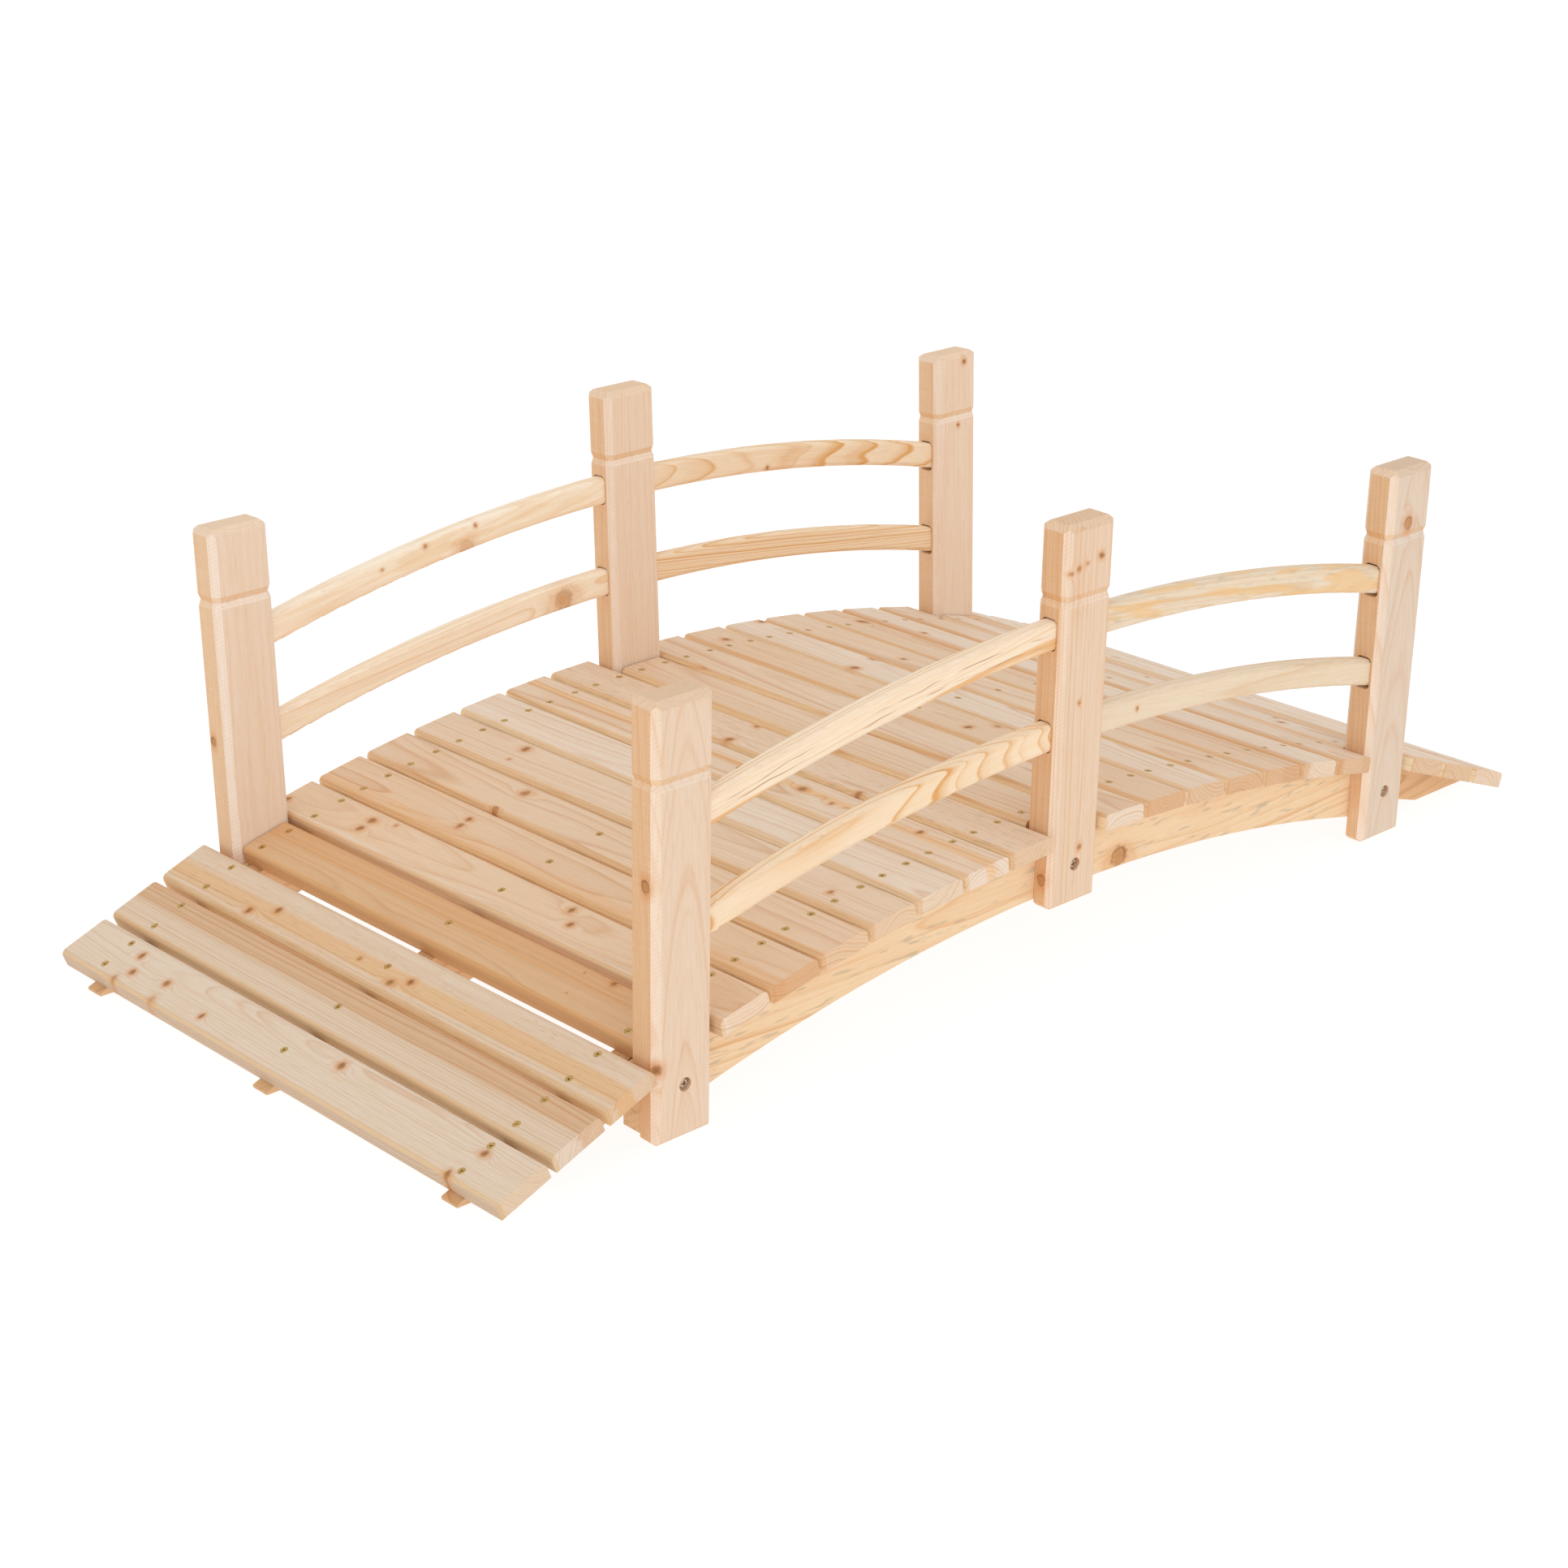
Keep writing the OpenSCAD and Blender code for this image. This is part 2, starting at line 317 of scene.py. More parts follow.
# Where a knot's own colour and its halo begin to fade and end, in knot sizes, and how much of
# them the faintest knot keeps
CORE_FADE = (0.45, 1.25)
CORE_LEAST = 0.3
HALO_FADE = (0.3, 2.5)
HALO_LEAST = 0.5
# The side on which a knot is darkest, and what the other side keeps of the dark
DARK_SIDE = (0.5, 0.8, 0.6)
PALE_SIDE = 0.45
# Darkness from the middle of a knot out to its reach, in knot sizes: a spike cut lengthwise,
# and a branch cut across with its own rings
KNOT_REACH = 1.4
SPIKE_DARK = ((0.0, 0.9), (0.3, 0.8), (0.5, 0.55), (0.62, 0.5), (0.78, 0.12), (1.0, 0.0))
ROUND_DARK = ((0.0, 0.75), (0.13, 0.2), (0.33, 0.35), (0.46, 0.1), (0.6, 0.9), (0.7, 0.6),
              (0.92, 0.0))


def make_knot_group():
    """Adds one knot, a branch through the board along Axis, to the knots before it."""
    g, at, out = new_group(
        "knot",
        [("Place", "Vector"), ("Wobble", "Vector"), ("Centre", "Vector"), ("Axis", "Vector"),
         ("Size", "Float"), ("Stretch", "Float"), ("Round", "Float"), ("Dark", "Float"),
         ("Core", "Float"), ("Rim", "Float"), ("Halo", "Float"), ("Push", "Float")],
        [("Core", "Float"), ("Rim", "Float"), ("Halo", "Float"), ("Push", "Float")],
    )
    off = g.vector("SUBTRACT", at["Place"], at["Centre"])
    depth = g.vector("DOT_PRODUCT", off, at["Axis"], out="Value")
    flat = g.vector("SUBTRACT", off, g.scaled(at["Axis"], depth))
    flat = g.vector("ADD", flat, g.scaled(at["Wobble"], at["Size"]))

    def reach(stretch):
        shape = g.node("ShaderNodeCombineXYZ", {"X": stretch, "Y": 1.0, "Z": 1.0})
        long = g.vector("DIVIDE", flat, shape.outputs["Vector"])
        return g.math("DIVIDE", g.vector("LENGTH", long, out="Value"), at["Size"])

    near = reach(at["Stretch"])
    wide = reach(g.math("MULTIPLY", at["Stretch"], HALO_STRETCH))
    core = g.math("MULTIPLY", g.span(near, *CORE_FADE, 1.0, 0.0, True),
                  g.span(at["Dark"], 0.0, 1.0, CORE_LEAST, 1.0))
    out_from = g.math("MULTIPLY", near, 1 / KNOT_REACH)
    spike = g.ramp(out_from, SPIKE_DARK)
    ringed = g.ramp(out_from, ROUND_DARK)
    rim = g.math("MULTIPLY_ADD", g.math("SUBTRACT", ringed, spike), at["Round"], spike)
    one_side = g.span(g.vector("DOT_PRODUCT", flat, DARK_SIDE, out="Value"),
                      g.math("MULTIPLY", at["Size"], -1.0), at["Size"], PALE_SIDE, 1.0)
    rim = g.math("MULTIPLY", g.math("MULTIPLY", rim, one_side), at["Dark"])
    halo = g.span(wide, *HALO_FADE, 1.0, 0.0, True)
    halo = g.math("MULTIPLY", halo, g.span(at["Dark"], 0.0, 1.0, HALO_LEAST, 1.0))
    bulge = g.math("MULTIPLY", g.math("POWER", reach(PUSH_STRETCH), 2.0), -PUSH_FADE)
    bulge = g.math("EXPONENT", bulge)
    bulge = g.math("MULTIPLY", g.math("MULTIPLY", bulge, at["Size"]), KNOT_PUSH)
    g.join(g.math("MAXIMUM", core, at["Core"]), out["Core"])
    g.join(g.math("MAXIMUM", rim, at["Rim"]), out["Rim"])
    g.join(g.math("MAXIMUM", halo, at["Halo"]), out["Halo"])
    g.join(g.math("ADD", bulge, at["Push"]), out["Push"])
    return g.tree


SOFTWOOD = make_softwood_group()
KNOTS_GROUP = make_knot_group()

# Axes of a board: x along the grain, y across its broad face, z through it
THROUGH = (0.0, 0.0, 1.0)
SIDEWAYS = (0.0, 1.0, 0.0)
# How many waves per mm there are in a knot's outline, and how far they go, in knot sizes
WOBBLE_WAVES = 0.15
WOBBLE = 0.8
# How much of the colour under it each part of a knot covers
KNOT_PARTS = (("Halo", 0.7, KNOT_HALO), ("Core", 0.9, KNOT), ("Rim", 0.95, KNOT_RIM))


def knots_of(g, at, knots):
    """Joins the knots of a board one after the other."""
    total = {"Core": 0.0, "Rim": 0.0, "Halo": 0.0, "Push": 0.0}
    wobble = g.noise(g.scaled(at, WOBBLE_WAVES), 1.0, 0.5, "Color")
    wobble = g.scaled(g.vector("SUBTRACT", wobble, (0.5, 0.5, 0.5)), WOBBLE)
    for centre, axis, size, dark, stretch, ringed in knots:
        given = {"Place": at, "Wobble": wobble, "Centre": centre, "Axis": axis, "Size": size,
                 "Dark": dark, "Stretch": stretch, "Round": ringed}
        one = g.node("ShaderNodeGroup", {**given, **total}, node_tree=KNOTS_GROUP)
        total = {key: one.outputs[key] for key in total}
    return total


# A crack's half width and how far it sways across the rail, in mm, how many times it sways per
# mm, the noise between which it fades in, and the radius of the rails' bend
CRACK_WIDTH = 0.9
CRACK_SWAY = 9.0
CRACK_WAVES = 0.012
CRACK_FADE = (0.44, 0.6)
RAIL_RADIUS = 2030.0


def crack_mask(g, at, start, climb, seed):
    """A fine broken split that follows the bend of a rail and climbs across it from start."""
    place = g.split(at)
    wave = g.noise_along(g.math("MULTIPLY_ADD", place["X"], CRACK_WAVES, seed))
    line = g.math("MULTIPLY_ADD", place["X"], climb, start)
    square = g.math("MULTIPLY", place["X"], place["X"])
    line = g.math("MULTIPLY_ADD", square, -0.5 / RAIL_RADIUS, line)
    line = g.math("MULTIPLY_ADD", g.math("SUBTRACT", wave, 0.5), CRACK_SWAY, line)
    away = g.math("ABSOLUTE", g.math("SUBTRACT", place["Y"], line))
    broken = g.noise_along(g.math("MULTIPLY_ADD", place["X"], CRACK_WAVES, seed * 2))
    depth = g.span(broken, *CRACK_FADE)
    return g.math("MULTIPLY", g.span(away, 0.0, CRACK_WIDTH, 1.0, 0.0, True), depth)


# How far streaks sway the edges of a band, and half the width over which an edge fades, in mm
BAND_SWAY = 16.0
BAND_SOFT = 3.5


def band_mask(g, at, wood, low, high):
    """A band from low to high across a board, with edges that sway along it."""
    sway = g.math("SUBTRACT", wood["Streak"], 0.5)
    side = g.math("MULTIPLY_ADD", sway, BAND_SWAY, g.split(at)["Y"])
    past_low = g.span(side, low - BAND_SOFT, low + BAND_SOFT, smooth=True)
    past_high = g.span(side, high - BAND_SOFT, high + BAND_SOFT, smooth=True)
    return g.math("SUBTRACT", past_low, past_high)


# The noise between which each kind of mark fades in
STAIN_FADE = (0.5, 0.72)
DASH_FADE = (0.68, 0.8)
BLUE_FADE = (0.6, 0.72)
BLOTCH_FADE = (0.5, 0.58)


def add_marks(g, at, wood, grain, colour):
    """Stain, bands, dashes of resin, blue stain, blotches and cracks, where a board has them.
    Some bands are painted shade and some are painted light over a whole board.
    """
    stain = g.span(wood["Streak"], *STAIN_FADE, 0.0, grain["stain"], True)
    colour = g.paint(stain, colour, STAIN)
    for low, high, share, tint in grain["bands"]:
        band = band_mask(g, at, wood, low, high)
        colour = g.tint(g.math("MULTIPLY", band, share), colour, tint)
    dash = g.span(wood["Dash"], *DASH_FADE, 0.0, grain["dash"])
    colour = g.paint(dash, colour, DASH)
    if grain["blue"]:
        spots = g.pattern(at, BLUE_REACH, 1.0)
        colour = g.paint(g.span(spots, *BLUE_FADE, 0.0, grain["blue"]), colour, BLUE)
    if grain["blotch"]:
        patch = g.pattern(g.vector("ADD", at, grain["seed"]), BLOTCH_REACH, 0.5)
        colour = g.paint(g.span(patch, *BLOTCH_FADE, 0.0, grain["blotch"]), colour, BLOTCH)
    for start, climb, seed in grain["cracks"]:
        colour = g.paint(crack_mask(g, at, start, climb, seed), colour, CRACK)
    return colour


# The noise from the deepest to the palest tone
TONE_SPAN = (0.25, 0.75)


def vary_tone(g, wood, colour):
    """Changes of tone, half of them in slow streaks and half in fine fibres."""
    streaks = g.span(wood["Streak"], *TONE_SPAN, 0.0, 0.5)
    fibres = g.span(wood["Fibre"], *TONE_SPAN, 0.0, 0.5)
    tone = g.mix(g.math("ADD", streaks, fibres), (*TONE_DEEP, 1.0), (*TONE_PALE, 1.0))
    return g.mix(1.0, colour, tone, "MULTIPLY")


# How far a face has turned to the front or to an end where that tint begins and where it is whole
FRONT_FROM = (0.8, 0.95)
END_FROM = (0.6, 0.85)
# Where the edge's tint, partly painted shade, covers the rounding at the near edge of a plank:
# where it is whole and where it ends, in mm across it, and how much of that tint it takes
ROUNDING_SHADE = (-26.8, -24.8)
ROUNDING_SHADE_SHARE = 0.9


def near_edge(g, at, across):
    """The planed near edge of a plank and the rounding beside it, which take the edge's tint: partly
    its grain and partly painted shade.
    """
    begins, whole = WOODS["plank"]["edge_from"]
    slope = g.span(across, -whole, -begins, 1.0, 0.0, True)
    rounding_shade = g.span(g.split(at)["Y"], *ROUNDING_SHADE, ROUNDING_SHADE_SHARE, 0.0)
    return g.math("MAXIMUM", slope, rounding_shade)


def tint_faces(g, at, kind, grain, facing, colour):
    """Tints of the narrow faces of a board, of a plank's bevels and front, and of the ends; on the
    narrow faces, bevels and fronts they are partly painted shade and painted light.
    """
    tones = WOODS[kind]
    if kind == "plank":
        lit_far_bevel = g.span(facing[1], *tones["edge_from"], smooth=True)
        colour = g.tint(lit_far_bevel, colour, FRESH_AND_LIT)
        edges = near_edge(g, at, facing[1])
    else:
        edges = g.span(g.math("ABSOLUTE", facing[1]), *tones["edge_from"], smooth=True)
    colour = g.tint(edges, colour, tones["edge"])
    if grain["front"]:
        begins, whole = FRONT_FROM
        front = g.span(facing[1], -whole, -begins, 1.0, 0.0)
        colour = g.tint(front, colour, grain["front"])
    ends = g.span(g.math("ABSOLUTE", facing[0]), *END_FROM, smooth=True)
    return g.tint(ends, colour, grain["end"])


# Spacing of the planer's marks on the bevels of the posts, in mm, their slant, how much of the
# paler tint, partly fresh wood and partly painted light, is left between them, and their height
# beside that of the fibres
CHATTER = 4.6
CHATTER_SLANT = 0.8
CHATTER_LEAST = 0.55
CHATTER_HEIGHT = 0.7
# How far a face has turned to be a bevel, and to begin and end as a slope of the groove
BEVEL_FROM = (0.2, 0.4)
SLOPE_FROM = (0.15, 0.28)
LOWER_SLOPE_TO = (0.55, 0.67)
UPPER_SLOPE_TO = (0.75, 0.85)
# The saw's marks: the noise between which they fade in, how far a face has turned to show them,
# how deep their tone is, and their height beside that of the fibres
SAW_FADE = (0.35, 0.65)
SAWN_FROM = (0.85, 0.97)
SAW_TONE = 0.55
SAW_HEIGHT = 0.5


def cutter_marks(g, at, facing, colour, height):
    """Planer marks and fresh wood on a post's bevels, painted light on its groove's lower slope and
    painted shade on the upper slope, and saw marks on its narrow faces.
    """
    place = g.split(at)
    ripple = g.math("MULTIPLY_ADD", place["Z"], CHATTER_SLANT, place["X"])
    ripple = g.math("SINE", g.math("MULTIPLY", ripple, 2 * math.pi / CHATTER))
    across = g.math("ABSOLUTE", facing[1])
    through = g.math("ABSOLUTE", facing[2])
    bevel = g.span(g.math("MULTIPLY", across, through), *BEVEL_FROM)
    up = facing[0]
    lower_slope = g.math("SUBTRACT", g.span(up, *SLOPE_FROM), g.span(up, *LOWER_SLOPE_TO))
    down = g.math("MULTIPLY", up, -1.0)
    upper_slope = g.math("SUBTRACT", g.span(down, *SLOPE_FROM), g.span(down, *UPPER_SLOPE_TO))
    colour = g.tint(upper_slope, colour, SHADED)
    pale_and_lit = g.math("MAXIMUM", bevel, lower_slope)
    pale_and_lit = g.math("MULTIPLY", pale_and_lit, g.span(ripple, -1.0, 1.0, CHATTER_LEAST, 1.0))
    colour = g.tint(pale_and_lit, colour, FRESH_AND_LIT)
    height = g.math("MULTIPLY_ADD", g.math("MULTIPLY", ripple, bevel), CHATTER_HEIGHT, height)
    saw = g.span(g.pattern(at, SAW_REACH, 1.0), *SAW_FADE)
    marks = g.math("MULTIPLY", saw, g.span(across, *SAWN_FROM))
    colour = g.tint(g.math("MULTIPLY", marks, SAW_TONE), colour, TONE_DEEP)
    return colour, g.math("MULTIPLY_ADD", marks, SAW_HEIGHT, height)


# Roughness of the fibres from low noise to high, and the height of latewood beside theirs
FIBRE_SPAN = (0.2, 0.8)
FIBRE_ROUGH = (0.74, 0.58)
LATE_HEIGHT = 0.5
WOOD_SPECULAR = 0.25
BUMP_STRENGTH = 0.35
BUMP_DEPTH = 0.3 * MM


def board_material(name, kind, place, grain, knots):
    """The softwood of one board. place turns board axes in mm into the part's frame."""
    material = bpy.data.materials.new(name)
    material.use_nodes = True
    g = Graph(material.node_tree)
    shader = material.node_tree.nodes["Principled BSDF"]
    seen = g.node("ShaderNodeTexCoord").outputs
    axes = place.to_3x3()
    mapping = g.node("ShaderNodeMapping", {"Vector": seen["Object"]}, vector_type="TEXTURE")
    mapping.inputs["Location"].default_value = place.to_translation()
    mapping.inputs["Rotation"].default_value = axes.to_euler("XYZ")
    mapping.inputs["Scale"].default_value = (MM, MM, MM)
    at = mapping.outputs["Vector"]
    facing = [g.vector("DOT_PRODUCT", seen["Normal"], tuple(axes.col[i]), out="Value")
              for i in range(3)]

    knot = knots_of(g, at, knots) if knots else {"Push": 0.0}
    given = {"Place": at, "Push": knot["Push"], "Seed": grain["seed"], "Pith": grain["pith"],
             "Lean": grain["lean"], "Curve": grain["curve"], "Ring": grain["ring"],
             "Warp": grain["warp"]}
    wood = g.node("ShaderNodeGroup", given, node_tree=SOFTWOOD).outputs

    early = linear(*between(*WOODS[kind]["early"], grain["warm"]))
    late = linear(*between(*WOODS[kind]["late"], grain["warm"]))
    colour = g.mix(g.math("MULTIPLY", wood["Late"], grain["contrast"]), early, late)
    colour = add_marks(g, at, wood, grain, colour)
    colour = vary_tone(g, wood, colour)
    colour = tint_faces(g, at, kind, grain, facing, colour)
    if knots:
        for part, share, tone in KNOT_PARTS:
            colour = g.paint(g.math("MULTIPLY", knot[part], share), colour, tone)
    height = g.math("MULTIPLY_ADD", wood["Late"], LATE_HEIGHT, wood["Fibre"])
    if kind == "post":
        colour, height = cutter_marks(g, at, facing, colour, height)

    g.join(colour, shader.inputs["Base Color"])
    rough = g.span(wood["Fibre"], *FIBRE_SPAN, *FIBRE_ROUGH)
    g.join(rough, shader.inputs["Roughness"])
    shader.inputs["Specular IOR Level"].default_value = WOOD_SPECULAR
    bump = g.node("ShaderNodeBump", {"Height": height, "Strength": BUMP_STRENGTH,
                                     "Distance": BUMP_DEPTH})
    g.join(bump.outputs["Normal"], shader.inputs["Normal"])
    return material


# Height of a rail's cross-section, in metres
RAIL_DEPTH = 30 * MM


def tilt_of(node):
    """Unit normal of the largest upward face of a plank."""
    faces = [p for p in nodes[node].data.polygons if p.normal.z > 0.5]
    return max(faces, key=lambda p: p.area).normal.normalized()


def board_place(node, kind):
    """Where a board's middle is and how its axes lie in the part's frame."""
    low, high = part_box(node)
    middle = (low + high) / 2
    if kind == "plank":
        along = Vector((0, 1, 0))
        across = along.cross(tilt_of(node))
    elif kind == "post":
        along = Vector((0, 0, 1))
        across = Vector((1, 0, 0))
    else:
        along = Vector((1, 0, 0))
        if kind == "rail":
            rise = (high.z - low.z - RAIL_DEPTH) / (high.x - low.x)
            along = Vector((1, 0, -math.copysign(rise, middle.x))).normalized()
        across = Vector((0, -1, 0)).cross(along)
    axes = Matrix((along, across, along.cross(across))).transposed()
    return Matrix.Translation(middle) @ axes.to_4x4()


# Warmth of each plank from the left end, from palest to warmest
PLANK_WARM = (0.1, 0.22, 0.22, 0.9, 0.2, 0.5, 0.4, 0.28, 0.02, 0.22, 0.3, 0.35,
              0.28, 0.38, 0.02, 0.28, 0.25, 0.0, 0.1, 0.0, 0.0, 0.0, 0.0)

# Bands over a whole board, and over a post but for its left side; 60 mm is past any edge
WHOLE = (-60, 60)
BROAD = (-29, 60)
# What sets a board apart from others of its kind; a band is from, to, share and tint across it,
# and some bands are painted shade over a whole board, and two are painted light
BOARDS = {
    "plank_01": {"bands": [(*WHOLE, 0.5, SHADE_GREY)], "contrast": 0.5, "front": FRONT_SHADE_DEEP},
    "plank_02": {"bands": [(*WHOLE, 0.65, SHADE_GREY), (2, 60, 1.0, HEART)], "pith": (0, 40, 30),
                 "lean": (0, 0.004, 0.0), "end": END_PALE, "front": FRONT_SHADE_SOFT},
    "plank_03": {"bands": [(*WHOLE, 0.55, SHADE_GREY), (-19, 3, 1.0, AMBER), (25, 60, 0.6, HEART)],
                 "dash": 0.35, "front": FRONT_LIGHT_SOFT},
    "plank_04": {"bands": [(*WHOLE, 0.5, SHADE_DULL), (2, 60, 0.5, AMBER)], "stain": 0.5,
                 "front": FRONT_SHADE_SOFT},
    "plank_05": {"bands": [(-22, 60, 0.45, AMBER)], "end": END_PALE, "front": FRONT_SHADE_SOFT},
    "plank_06": {"bands": [(-26, -14, 0.5, AMBER)], "end": END_DEEP_AND_SHADED},
    "plank_10": {"bands": [(-1, 12, 1.0, AMBER)], "end": END_PALE},
    "plank_11": {"dash": 0.5, "blue": 0.25},
    "plank_13": {"end": END_PALE},
    "plank_14": {"end": END_DEEP_AND_SHADED},
    "plank_15": {"end": END_DEEP_AND_SHADED},
    "plank_16": {"end": END_DEEP_AND_SHADED},
    "plank_17": {"bands": [(2, 60, 0.4, HEART)], "end": END_DEEP_AND_SHADED},
    "plank_18": {"bands": [(-60, -17, 1.0, HEART)]},
    "plank_19": {"bands": [(-60, -19, 0.8, HEART), (16, 60, 0.4, HEART)], "end": END_DEEP_AND_SHADED},
    "plank_20": {"bands": [(9, 60, 1.0, HEART)]},
    "plank_21": {"end": END_DEEP_AND_SHADED},
    "plank_22": {"end": END_DEEP_AND_SHADED},
    "post_near_left": {
        "warm": 0.32, "pith": (0, 2, 36), "lean": (0, 0.004, 0.024), "ring": 3.0, "warp": 7,
        "contrast": 0.5, "bands": [(*BROAD, 0.5, SHADE_DULL)],
    },
    "post_near_mid": {
        "warm": 0.36, "pith": (0, -60, 30), "lean": (0, 0.006, 0.0), "ring": 4.2, "warp": 6,
        "contrast": 0.75, "stain": 0.6, "bands": [(*BROAD, 0.4, SHADE_DULL)],
    },
    "post_near_right": {
        "warm": 0.2, "pith": (0, 6, 40), "lean": (0, 0.01, 0.03), "ring": 4.2, "warp": 9,
        "contrast": 0.6, "bands": [(*BROAD, 1.0, SHADE_DULL)],
    },
    "post_far_left": {
        "warm": 0.0, "pith": (0, -2, 38), "lean": (0, 0.0, 0.02), "ring": 4.0, "contrast": 0.4,
        "stain": 0.1,
    },
    "post_far_mid": {"warm": 0.12, "ring": 4.0, "lean": (0, 0.004, 0.02), "contrast": 0.5},
    "post_far_right": {
        "warm": 0.05, "pith": (0, 0, 40), "lean": (0, 0.005, 0.04), "ring": 3.6, "contrast": 0.5,
    },
    "rail_near_left_top": {
        "warm": 0.1, "ring": 4.5, "pith": (0, -20, 40), "lean": (0, 0.05, 0.02),
        "contrast": 0.9, "cracks": ((17, 0.01, 3.1), (9, -0.004, 8.7)),
    },
    "rail_near_left_low": {
        "warm": 0.3, "ring": 7, "pith": (0, 2, -60), "lean": (0, 0.0, 0.11),
        "curve": (0, 0, 0.0005), "contrast": 1.4, "warp": 12,
    },
    "rail_near_right_top": {
        "warm": 0.25, "ring": 5, "pith": (0, 0, 22), "lean": (0, 0.03, 0.09), "warp": 34,
        "contrast": 0.6, "blue": 0.3, "blotch": 0.6, "bands": [(*WHOLE, 0.9, SHADE_DULL)],
    },
    "rail_near_right_low": {
        "warm": 0.3, "ring": 9, "warp": 8, "contrast": 0.7, "bands": [(*WHOLE, 0.9, SHADE_DULL)],
    },
    "rail_far_left_top": {
        "warm": 0.0, "ring": 9, "warp": 14, "lean": (0, 0.02, 0.05), "contrast": 0.5,
        "blotch": 0.25, "bands": [(*WHOLE, 1.0, LIGHT_PALE)],
    },
    "rail_far_left_low": {
        "warm": 0.05, "ring": 5, "warp": 10, "contrast": 0.8, "bands": [(*WHOLE, 0.8, LIGHT_PALE)],
    },
    "rail_far_right_top": {
        "warm": 0.25, "ring": 13, "pith": (0, 16, 75), "lean": (0, 0.06, 0.22), "warp": 40,
        "contrast": 1.8, "stain": 0.3,
    },
    "rail_far_right_low": {"warm": 0.35, "ring": 4, "pith": (0, 60, 10), "contrast": 1.8},
    "arch_near": {"warm": 0.25, "ring": 8, "blue": 0.45, "stain": 0.5, "contrast": 0.9},
    "arch_far": {"warm": 0.3, "ring": 8, "blue": 0.3},
}

# Knots of a board: along, across, size in mm and darkness; they go through its broad face
KNOTS = {
    "plank_01": [(265, 11, 4.5, 1.0), (252, -10, 4, 0.8), (264, -27, 5, 0.35),
                 (201, -2, 4.5, 0.8), (123, -14, 4, 0.9), (-74, 14, 5.5, 0.9),
                 (-297, 8, 4.5, 0.9), (-285, -27, 5, 0.8), (196, -26, 6, 0.15)],
    "plank_03": [(214, -18, 5, 1.0), (183, -2, 4.5, 1.0), (-22, -16, 4.5, 0.9),
                 (-42, -5, 4.5, 1.0), (37, -8, 3, 0.5)],
    "plank_04": [(-226, 24, 5, 0.85), (-187, 20, 1.4, 0.8), (-197, -11, 1.4, 0.6)],
    "plank_05": [(229, 11, 5, 0.8), (228, -6, 5, 0.8), (350, -13, 5, 0.9), (198, 19, 3, 0.4),
                 (-92, 16, 5, 0.85), (-111, -2, 4.5, 0.8)],
    "plank_06": [(140, 6, 4, 0.9), (138, -8, 5, 0.7)],
    "plank_07": [(134, 12, 6, 0.6)],
    "plank_08": [(216, 14, 5.5, 0.8), (212, -12, 3, 0.4), (-279, -7, 4, 0.7)],
    "plank_10": [(-90, 5, 5.5, 0.8), (-139, 0, 4, 0.7), (-255, 11, 4, 0.9)],
    "plank_11": [(64, -22, 5, 0.9), (70, 24, 4, 0.7), (-140, -28, 5, 0.6)],
    "plank_14": [(314, -3, 5, 0.7), (-82, -6, 5.5, 0.9), (-99, 24, 5, 0.5)],
    "plank_15": [(162, 27, 5, 1.0), (147, -20, 6, 0.8), (348, 22, 6, 1.0)],
    "plank_16": [(146, -6, 4, 0.8)],
    "plank_17": [(300, 13, 6, 0.8)],
    "plank_18": [(-120, 8, 4.5, 0.7), (232, -12, 4, 0.8)],
    "plank_19": [(40, 15, 4, 0.7)],
    "plank_20": [(-210, -9, 5, 0.9), (-190, 6, 4, 0.6)],
    "plank_21": [(120, 12, 5, 0.8), (-260, -4, 4.5, 0.9)],
    "plank_22": [(-60, -14, 4, 0.7), (205, 10, 4.5, 0.8), (222, -3, 4, 0.6)],
    "plank_23": [(30, 6, 5.5, 0.9), (-180, -12, 4, 0.7), (262, 15, 4.5, 0.8)],
    "post_near_mid": [(164, 14, 4, 0.9), (154, -28, 3, 0.5), (157, -18, 3, 0.55),
                      (160, -6, 2.5, 0.3), (-142, 5, 3.5, 0.6), (16, -7, 2.6, 0.5)],
    "post_far_right": [(205, 11, 3.5, 0.9), (127, 1, 2.5, 0.8)],
    "rail_far_left_top": [(47, 24, 2.8, 0.55), (-22, 24, 2.6, 0.45), (-81, 18, 2.2, 0.3)],
    "rail_far_right_top": [(-50, 4, 3, 0.8)],
    "rail_near_right_low": [(-170, 8, 2.5, 0.6)],
}
# The same for branches that are cut across and show their rings
RINGED_KNOTS = {
    "plank_07": [(135, -28, 3.6, 0.9)],
    "post_near_right": [(153, -5, 6.4, 0.85)],
    "arch_near": [(94, 17, 10, 0.85)],
    "rail_far_left_low": [(162, 5, 11, 0.34)],
    "rail_far_left_top": [(30, 3, 9, 0.12)],
}
# Knots that go through a post from side to side: along, through, size and darkness
SIDE_KNOTS = {
    "post_near_left": [(41, -6, 5.2, 1.0)],
    "post_near_mid": [(-171, -2, 4.8, 0.8)],
    "post_far_left": [(-14, 5, 4.5, 0.9)],
}
# One that goes through a post's corner: middle, axis, size, darkness, length and share of rings
CORNER_KNOT = ("post_near_left", ((-138, -33, -13), (0.0, 0.72, 0.69), 5.4, 1.0, 0.9, 0.0))
# Shortest and longest knots along the grain, in knot sizes: spikes, and ringed ones
SPIKE_CUT = (0.6, 0.95)
RINGED_CUT = (1.0, 1.25)


